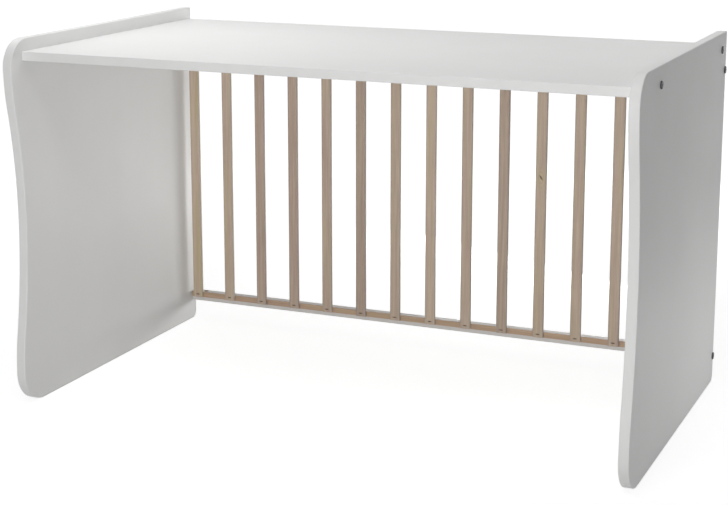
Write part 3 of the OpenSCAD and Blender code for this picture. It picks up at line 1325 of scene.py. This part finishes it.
@dataclass
class Bolts:
    """Connector bolts with a flat head and a hexagon socket."""

    shank_radius: float = 0.003
    tip_length: float = 0.002
    tip_chamfer: float = 0.0006
    head_round: float = 0.0009
    head_round_steps: int = 5
    socket_apothem: float = 0.002
    socket_chamfer: float = 0.0004
    socket_depth: float = 0.003
    socket_rings: int = 3
    sides: int = 48
    sharp_angle: float = 35.0

    def profile(self, start: float, seat: float, top: float, head_radius: float) -> Array:
        """The rings from the tip up the shank, over the head and down the socket.

        Args:
            start: Height of the tip.
            seat: Height of the head's underside.
            top: Height of the head's top.
            head_radius: Radius of the head.

        Returns:
            Radius and height of each ring. The socket's rings come last, and their radius
            is the hexagon's apothem.
        """
        _, draw, rise = easing(self.head_round, self.head_round_steps)
        outside = [
            (self.shank_radius - self.tip_chamfer, start), (self.shank_radius, start + self.tip_chamfer),
            (self.shank_radius, seat), (head_radius, seat),
        ]
        socket = [
            (self.socket_apothem + self.socket_chamfer, top),
            (self.socket_apothem, top - self.socket_chamfer),
            (self.socket_apothem, top - self.socket_depth),
        ]
        return np.concatenate([outside, np.stack([head_radius - rise, top - draw], axis=1), socket])

    def turned(self, rings: Array) -> Array:
        """Turn the profile about its height.

        A hexagon's radius is its apothem over the cosine of the angle from the middle of
        its nearest side.

        Args:
            rings: Radius and height of each ring.

        Returns:
            The points, rings by sides by 3.
        """
        around, third = full_turn(self.sides), math.pi / 3
        flats = 1 / np.cos(np.mod(around, third) - third / 2)
        hexagon = np.arange(len(rings)) >= len(rings) - self.socket_rings
        radius = rings[:, :1] * np.where(hexagon[:, None], flats, 1.0)
        return with_level(radius[..., None] * rays(around), rings[:, 1])

    def group(self, node: str, places: Sequence[Pair], steel: bpy.types.Material) -> bpy.types.Object:
        """Build the bolts of both ends at the given places as one piece.

        The left end's bolts are the right end's turned half round the vertical axis. Their
        shading comes from the faces and the sharp edges, so the normals stay empty.

        Args:
            node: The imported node.
            places: Depth and height of each axis.
            steel: The bolts' finish.

        Returns:
            The bolts.
        """
        desk, panel = Extent.of("desk_bolts"), Extent.of("right_end_panel")
        start = Extent.of("desk_barrel_nuts").high.x - 2 * NUT_RADIUS - self.tip_length
        head_radius = (desk.high.z - desk.low.z) / 2
        rings = self.profile(start, panel.high.x, Extent.of(node).high.x, head_radius)
        across, up, out = np.moveaxis(self.turned(rings), -1, 0)
        shell = Shell()
        for (y, z) in places:
            for side in (1, -1):
                placed = np.stack([side * out, y + side * across, z + up], axis=-1)
                index = shell.add_rings(placed, np.zeros_like(placed))
                for end, turned in ((0, True), (-1, False)):
                    tip = np.array([side * rings[end, 1], y, z])
                    shell.add_pole(index[end], tip, np.zeros(3), turned)
        mesh = smooth_mesh(node, shell.points, shell.faces)
        mesh.set_sharp_from_angle(angle=math.radians(self.sharp_angle))
        mesh.update()
        return make_piece(f"{node}_steel", mesh, steel, "bolt_steel", node)

    def build(self, steel: bpy.types.Material) -> Iterator[bpy.types.Object]:
        """Build the desk's and the rails' bolts."""
        yield self.group("desk_bolts", bolt_places()[:2], steel)
        yield self.group("rail_bolts", bolt_places()[2:], steel)


@dataclass(frozen=True)
class Lamp:
    """A rectangular softbox, with its power in watts."""

    name: str
    place: Point
    aim: Point
    size: Pair
    power: float

    def build(self) -> None:
        """Hang the lamp and turn it to its aim."""
        light = bpy.data.lights.new(self.name, "AREA")
        light.shape = "RECTANGLE"
        light.size, light.size_y = self.size
        light.energy = self.power
        lamp = bpy.data.objects.new(self.name, light)
        lamp.location = self.place
        lamp.visible_camera = False
        lamp.rotation_euler = (Vector(self.aim) - Vector(self.place)).to_track_quat("-Z", "Y").to_euler()
        bpy.context.scene.collection.objects.link(lamp)


@dataclass(frozen=True)
class Studio:
    """A plain pale floor, a white surround, softboxes and the camera.

    Angles are in degrees, and the lens and the sensor in millimetres. The floor glows to
    white where it is seen: by a lower share near the object, where its shadow lies, and
    fully further out.
    """

    lamps: Sequence[Lamp] = (
        Lamp("overhead_softbox", (0.1, 0.2, 1.9), (-0.3, 0.0, 0.7), (0.9, 1.2), 5.2),
        Lamp("left_top_strip", (-0.72, 0.0, 1.35), (-0.5, 0.0, 0.7), (0.3, 0.9), 2.95),
        Lamp("front_softbox", (0.45, -3.3, 0.75), (-0.1, 0.0, 0.4), (1.6, 1.0), 38.5),
        Lamp("front_top_softbox", (0.3, -1.7, 3.0), (0.0, -0.1, 0.7), (1.6, 1.2), 20.5),
        Lamp("left_back_softbox", (-2.4, 2.6, 1.6), (0.0, 0.2, 0.7), (2.0, 1.4), 2.2),
        Lamp("right_back_softbox", (0.3, 2.4, 0.5), (-0.3, 0.0, 0.35), (1.2, 0.8), 7.8),
        Lamp("low_back_strip", (-0.08, 1.2, 0.12), (-0.6, 0.1, 0.05), (0.8, 0.2), 3.7),
        Lamp("knee_space_fill", (0.5, -0.28, 0.22), (-0.6, 0.3, 0.12), (0.25, 0.3), 0.32),
        Lamp("right_back_strip", (1.0, 0.3, 0.12), (0.625, 0.3, 0.2), (0.4, 0.15), 0.37),
        Lamp("right_side_softbox", (1.2, 0.12, 0.4), (0.625, -0.1, 0.36), (0.3, 0.2), 0.06),
        Lamp("right_top_strip", (0.72, 0.25, 1.15), (0.6, 0.25, 0.73), (0.1, 0.4), 0.14),
        Lamp("right_front_strip", (1.0, -0.2, 0.12), (0.625, -0.2, 0.2), (0.4, 0.15), 0.10),
    )
    ambient: float = 0.12
    floor_half: float = 30.0
    floor_drop: float = 0.0004
    floor_pale: float = 0.8
    floor_seen: float = 0.42
    floor_glow: float = 0.80
    glow_reach: Pair = (1.1, 2.3)
    camera_place: Point = (1.2753, -3.0243, 1.1177)
    camera_turn: float = 23.17
    camera_pitch: float = 11.54
    lens: float = 82.5
    sensor: float = 36.0
    shift: float = -0.10

    def seen(self, web: NodeWeb) -> Socket:
        """Mark the rays that show the surround: from the camera, a reflection or through glass.

        Args:
            web: The web of the surround or of the floor.

        Returns:
            1 for such a ray, and 0 for any other.
        """
        path = web.add("ShaderNodeLightPath").outputs
        found = web.calc("MAXIMUM", path["Is Camera Ray"], path["Is Glossy Ray"])
        return web.calc("MAXIMUM", found, path["Is Transmission Ray"])

    def build_world(self) -> None:
        """White surround where it is seen, and an even soft light elsewhere."""
        world = bpy.data.worlds.new("surround")
        world.use_nodes = True
        bpy.context.scene.world = world
        web = NodeWeb(world.node_tree)
        strength = web.spread(self.seen(web), (0.0, 1.0), (self.ambient, 1.0))
        back = web.add("ShaderNodeBackground", {"Color": WHITE, "Strength": strength})
        web.add("ShaderNodeOutputWorld", {"Surface": back.outputs[0]})

    def build_floor(self) -> None:
        """A wide floor that keeps the object's shadow, lifted to white where it is seen."""
        half, drop = self.floor_half, -self.floor_drop
        mesh = bpy.data.meshes.new("floor")
        corners = [(-half, -half, drop), (half, -half, drop), (half, half, drop), (-half, half, drop)]
        mesh.from_pydata(corners, [], [(0, 1, 2, 3)])
        material, web = new_web("pale_floor")
        seen = self.seen(web)
        pale = web.spread(seen, (0.0, 1.0), (self.floor_pale, self.floor_seen))
        matt = web.add("ShaderNodeBsdfDiffuse", {"Color": web.grey(pale)})
        share = web.spread(web.length(web.place()), self.glow_reach, (self.floor_glow, 1.0))
        glow = web.calc("MULTIPLY", seen, share)
        light = web.add("ShaderNodeEmission", {"Color": WHITE, "Strength": glow})
        whole = web.add("ShaderNodeAddShader", {0: matt.outputs[0], 1: light.outputs[0]})
        web.add("ShaderNodeOutputMaterial", {"Surface": whole.outputs[0]})
        mesh.materials.append(material)
        floor = bpy.data.objects.new("floor", mesh)
        bpy.context.scene.collection.objects.link(floor)

    def build_camera(self) -> None:
        """Place the camera near the photograph's, tilted down in place of its large shift."""
        data = bpy.data.cameras.new("camera")
        data.sensor_width = self.sensor
        data.lens = self.lens
        data.shift_y = self.shift
        data.dof.use_dof = False
        camera = bpy.data.objects.new("camera", data)
        camera.location = self.camera_place
        camera.rotation_euler = (math.radians(90 - self.camera_pitch), 0.0, math.radians(self.camera_turn))
        bpy.context.scene.collection.objects.link(camera)
        bpy.context.scene.camera = camera

    def build(self) -> None:
        """Set the scene up round the object."""
        bpy.context.scene.view_settings.view_transform = "Standard"
        self.build_world()
        self.build_floor()
        self.build_camera()
        for lamp in self.lamps:
            lamp.build()


def main() -> None:
    """Build every sub-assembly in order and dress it."""
    logging.basicConfig(level=logging.INFO, format="%(name)s: %(message)s")
    Studio().build()
    foil = WhiteLaminate("white_laminate").material()
    # painted shade: the rails' foil is a darker copy of the white laminate, standing in for the lower light
    # at the back under the desk
    rail_foil_painted_shade = WhiteLaminate(
        "rail_laminate_painted_shade", linear(222, 219, 216), linear(219, 216, 213)
    ).material()
    slat_wood = StringWood("slat_stained_wood", Grain.Z).material()
    # The battens' stain is a warmer wood of its own, darkened a little further as painted shade for the low
    # back under the desk
    batten_wood = StringWood(
        "batten_stained_wood", Grain.X, sand=linear(206, 177, 150), rosy=linear(201, 168, 146),
        olive=linear(195, 172, 139), umber=linear(170, 140, 117),
    ).material()
    black, wire, zinc = (
        PlatedSteel(name, linear(*colour), linear(*patch), gloss).material()
        for name, colour, patch, gloss in (
            ("black_oxide_steel", (80, 80, 82), (62, 62, 64), (0.40, 0.52)),
            ("brown_staple_wire", (76, 64, 54), (56, 47, 40), (0.35, 0.5)),
            ("zinc_plated_steel", (196, 199, 202), (172, 175, 180), (0.28, 0.4)),
        )
    )
    beech = BeechWood("turned_beech").material()
    made = [
        *EndPanels().build(foil),
        *DeskTop().build(foil),
        *SlattedSide().build(rail_foil_painted_shade, slat_wood, batten_wood, wire),
        *Bolts().build(black),
        *(carry_node(node, zinc, "nut_steel") for node in ("desk_barrel_nuts", "rail_barrel_nuts")),
        *(carry_node(node, beech, "dowel_beech") for node in ("desk_dowels", "rail_dowels")),
    ]
    for piece in made:
        log.info("%s: %d faces, %s", piece.name, len(piece.data.polygons), piece["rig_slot"])


if __name__ == "__main__":
    main()
